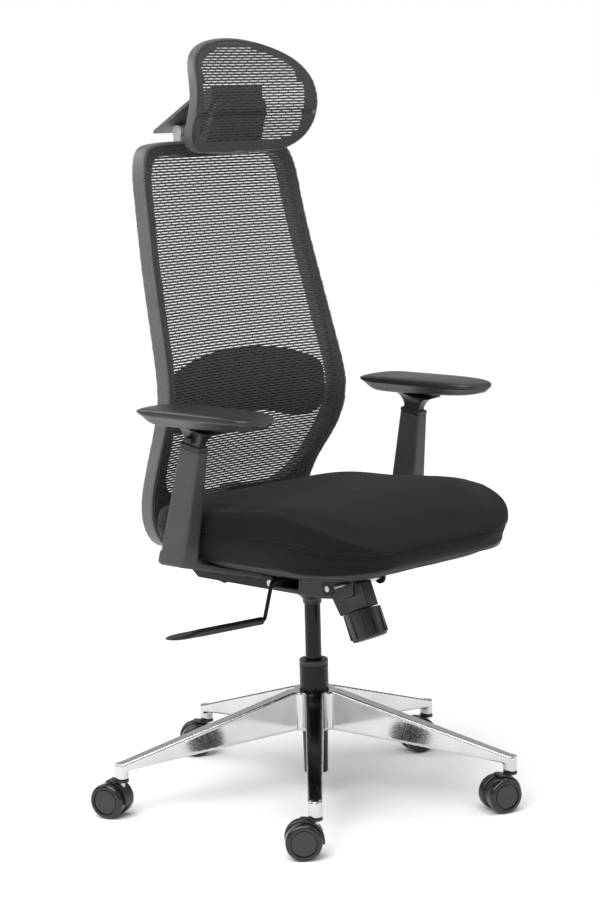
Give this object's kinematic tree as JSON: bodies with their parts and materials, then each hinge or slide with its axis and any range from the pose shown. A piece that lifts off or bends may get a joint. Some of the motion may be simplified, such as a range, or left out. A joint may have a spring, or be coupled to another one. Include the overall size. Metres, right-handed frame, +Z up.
{
  "type": "swivel office chair",
  "caption": "High-back swivel office chair with a mesh back, headrest, padded seat, height-adjustable arms, tilt mechanism and a polished star base on twin-wheel casters.",
  "frame": {"origin": "on the floor under the centre of the column, about which the chair swivels", "axes": "+Z up; the sitter faces -Y; +X is the sitter's left"},
  "size_m": [0.7015, 0.7252, 1.302],
  "materials": {
    "polished_metal": "polished, mirror-like",
    "dark_steel": "black, satin",
    "steel": "bright, ground",
    "cylinder_black": "black, semi-gloss",
    "housing_black": "black, satin",
    "plastic_black": "moulded, fine grain",
    "plastic_grey": "moulded, fine speckled grain",
    "pad_black": "soft, fine grain",
    "fabric_black": "fine weave with a stitched border",
    "mesh_black": "open woven mesh with horizontal slits",
    "tread": "moulded"
  },
  "bodies": {
    "base": {"base_star": "polished_metal", "column_tube": "dark_steel", "column_bush": "plastic_black", "thrust_bearing": "dark_steel"},
    "rod": {"piston_rod": "steel", "rod_clip": "dark_steel"},
    "lift": {"gas_cylinder": "cylinder_black", "tilt_housing": "housing_black", "tilt_axle": "dark_steel", "seat_hinge_pin": "dark_steel", "tension_spring": "dark_steel"},
    "knob": {"tension_knob": "plastic_black", "tension_bolt": "dark_steel"},
    "lever": {"height_lever": "dark_steel", "lever_grip": "plastic_black"},
    "seat": {"seat_plate": "dark_steel", "seat_screws": "dark_steel", "seat_shell": "plastic_black", "seat_cushion": "fabric_black", "arm_bracket_left": "plastic_grey", "arm_bracket_right": "plastic_grey", "arm_collar_left": "plastic_black", "arm_collar_right": "plastic_black"},
    "arm_left": {"arm_post_left": "plastic_grey", "arm_pad_left": "pad_black"},
    "arm_right": {"arm_post_right": "plastic_grey", "arm_pad_right": "pad_black"},
    "button_left": {"arm_button_left": "plastic_black"},
    "button_right": {"arm_button_right": "plastic_black"},
    "back": {"back_bar": "housing_black", "back_screws": "dark_steel", "back_frame": "plastic_black", "back_mesh": "mesh_black", "headrest_socket": "plastic_black", "headrest_post": "plastic_black", "headrest_pin": "dark_steel"},
    "lumbar": {"lumbar_pad": "plastic_black"},
    "head": {"headrest_arm": "plastic_black", "headrest_frame": "plastic_black", "headrest_mesh": "mesh_black"},
    "caster_0": {"caster_0_housing": "plastic_black", "caster_0_pins": "steel"},
    "wheel_0_left": {"caster_0_wheel_left": "tread"},
    "wheel_0_right": {"caster_0_wheel_right": "tread"},
    "caster_1": {"caster_1_housing": "plastic_black", "caster_1_pins": "steel"},
    "wheel_1_left": {"caster_1_wheel_left": "tread"},
    "wheel_1_right": {"caster_1_wheel_right": "tread"},
    "caster_2": {"caster_2_housing": "plastic_black", "caster_2_pins": "steel"},
    "wheel_2_left": {"caster_2_wheel_left": "tread"},
    "wheel_2_right": {"caster_2_wheel_right": "tread"},
    "caster_3": {"caster_3_housing": "plastic_black", "caster_3_pins": "steel"},
    "wheel_3_left": {"caster_3_wheel_left": "tread"},
    "wheel_3_right": {"caster_3_wheel_right": "tread"},
    "caster_4": {"caster_4_housing": "plastic_black", "caster_4_pins": "steel"},
    "wheel_4_left": {"caster_4_wheel_left": "tread"},
    "wheel_4_right": {"caster_4_wheel_right": "tread"}
  },
  "joints": [
    {"name": "chair_swivel", "type": "hinge", "parent": "base", "child": "rod", "pos_m": [0, 0, 0.2], "axis": [0, 0, 1], "continuous": true},
    {"name": "seat_lift", "type": "slide", "parent": "rod", "child": "lift", "axis": [0, 0, 1], "range_m": [-0.09, 0]},
    {"name": "recline", "type": "hinge", "parent": "lift", "child": "back", "pos_m": [0, 0.045, 0.378], "axis": [-1, 0, 0], "range_deg": [0, 20], "stiffness_Nm_per_rad": 120, "springref_deg": -17.19},
    {"name": "seat_tilt", "type": "hinge", "parent": "lift", "child": "seat", "pos_m": [0, -0.1, 0.388], "axis": [-1, 0, 0], "range_deg": [0, 5]},
    {"name": "height_lever", "type": "hinge", "parent": "lift", "child": "lever", "pos_m": [-0.045, 0.027, 0.3842], "axis": [0, 1, 0], "range_deg": [0, 6], "stiffness_Nm_per_rad": 6, "springref_deg": -5.73},
    {"name": "tension_turn", "type": "hinge", "parent": "lift", "child": "knob", "pos_m": [0, -0.1147, 0.343], "axis": [0, 0.381, 0.9246], "continuous": true},
    {"name": "lumbar_height", "type": "slide", "parent": "back", "child": "lumbar", "axis": [0, 0, 1], "range_m": [-0.01, 0.025]},
    {"name": "headrest_tilt", "type": "hinge", "parent": "back", "child": "head", "pos_m": [0, 0.266, 1.145], "axis": [1, 0, 0], "range_deg": [-25, 10]},
    {"name": "arm_height_left", "type": "slide", "parent": "seat", "child": "arm_left", "axis": [-0.055, -0.1778, 0.9825], "range_m": [0, 0.06]},
    {"name": "arm_height_right", "type": "slide", "parent": "seat", "child": "arm_right", "axis": [0.055, -0.1778, 0.9825], "range_m": [0, 0.06]},
    {"name": "arm_button_left", "type": "slide", "parent": "arm_left", "child": "button_left", "axis": [-0.9985, 0.0049, -0.055], "range_m": [0, 0.004], "stiffness_N_per_m": 400, "springref_m": -0.002},
    {"name": "arm_button_right", "type": "slide", "parent": "arm_right", "child": "button_right", "axis": [0.9985, 0.0049, -0.055], "range_m": [0, 0.004], "stiffness_N_per_m": 400, "springref_m": -0.002},
    {"name": "caster_0_swivel", "type": "hinge", "parent": "base", "child": "caster_0", "pos_m": [-0.25067, -0.23705, 0.066], "axis": [0, 0, 1], "continuous": true},
    {"name": "caster_1_swivel", "type": "hinge", "parent": "base", "child": "caster_1", "pos_m": [0.14798, -0.31165, 0.066], "axis": [0, 0, 1], "continuous": true},
    {"name": "caster_2_swivel", "type": "hinge", "parent": "base", "child": "caster_2", "pos_m": [0.34213, 0.04443, 0.066], "axis": [0, 0, 1], "continuous": true},
    {"name": "caster_3_swivel", "type": "hinge", "parent": "base", "child": "caster_3", "pos_m": [0.06346, 0.33911, 0.066], "axis": [0, 0, 1], "continuous": true},
    {"name": "caster_4_swivel", "type": "hinge", "parent": "base", "child": "caster_4", "pos_m": [-0.3029, 0.16515, 0.066], "axis": [0, 0, 1], "continuous": true},
    {"name": "caster_0_roll_left", "type": "hinge", "parent": "caster_0", "child": "wheel_0_left", "pos_m": [-0.2653, -0.2234, 0.03], "axis": [0.682, 0.7314, 0], "continuous": true},
    {"name": "caster_0_roll_right", "type": "hinge", "parent": "caster_0", "child": "wheel_0_right", "pos_m": [-0.2653, -0.2234, 0.03], "axis": [0.682, 0.7314, 0], "continuous": true},
    {"name": "caster_1_roll_left", "type": "hinge", "parent": "caster_1", "child": "wheel_1_left", "pos_m": [0.12931, -0.30448, 0.03], "axis": [0.3584, 0.9336, 0], "continuous": true},
    {"name": "caster_1_roll_right", "type": "hinge", "parent": "caster_1", "child": "wheel_1_right", "pos_m": [0.12931, -0.30448, 0.03], "axis": [0.3584, 0.9336, 0], "continuous": true},
    {"name": "caster_2_roll_left", "type": "hinge", "parent": "caster_2", "child": "wheel_2_left", "pos_m": [0.32345, 0.0516, 0.03], "axis": [0.3584, 0.9336, 0], "continuous": true},
    {"name": "caster_2_roll_right", "type": "hinge", "parent": "caster_2", "child": "wheel_2_right", "pos_m": [0.32345, 0.0516, 0.03], "axis": [0.3584, 0.9336, 0], "continuous": true},
    {"name": "caster_3_roll_left", "type": "hinge", "parent": "caster_3", "child": "wheel_3_left", "pos_m": [0.0477, 0.35143, 0.03], "axis": [0.6157, 0.788, 0], "continuous": true},
    {"name": "caster_3_roll_right", "type": "hinge", "parent": "caster_3", "child": "wheel_3_right", "pos_m": [0.0477, 0.35143, 0.03], "axis": [0.6157, 0.788, 0], "continuous": true},
    {"name": "caster_4_roll_left", "type": "hinge", "parent": "caster_4", "child": "wheel_4_left", "pos_m": [-0.30941, 0.18406, 0.03], "axis": [0.9455, 0.3256, 0], "continuous": true},
    {"name": "caster_4_roll_right", "type": "hinge", "parent": "caster_4", "child": "wheel_4_right", "pos_m": [-0.30941, 0.18406, 0.03], "axis": [0.9455, 0.3256, 0], "continuous": true}
  ],
  "couplings": [
    {"joint": "seat_tilt", "follows": "recline", "ratio": 0.25}
  ]
}
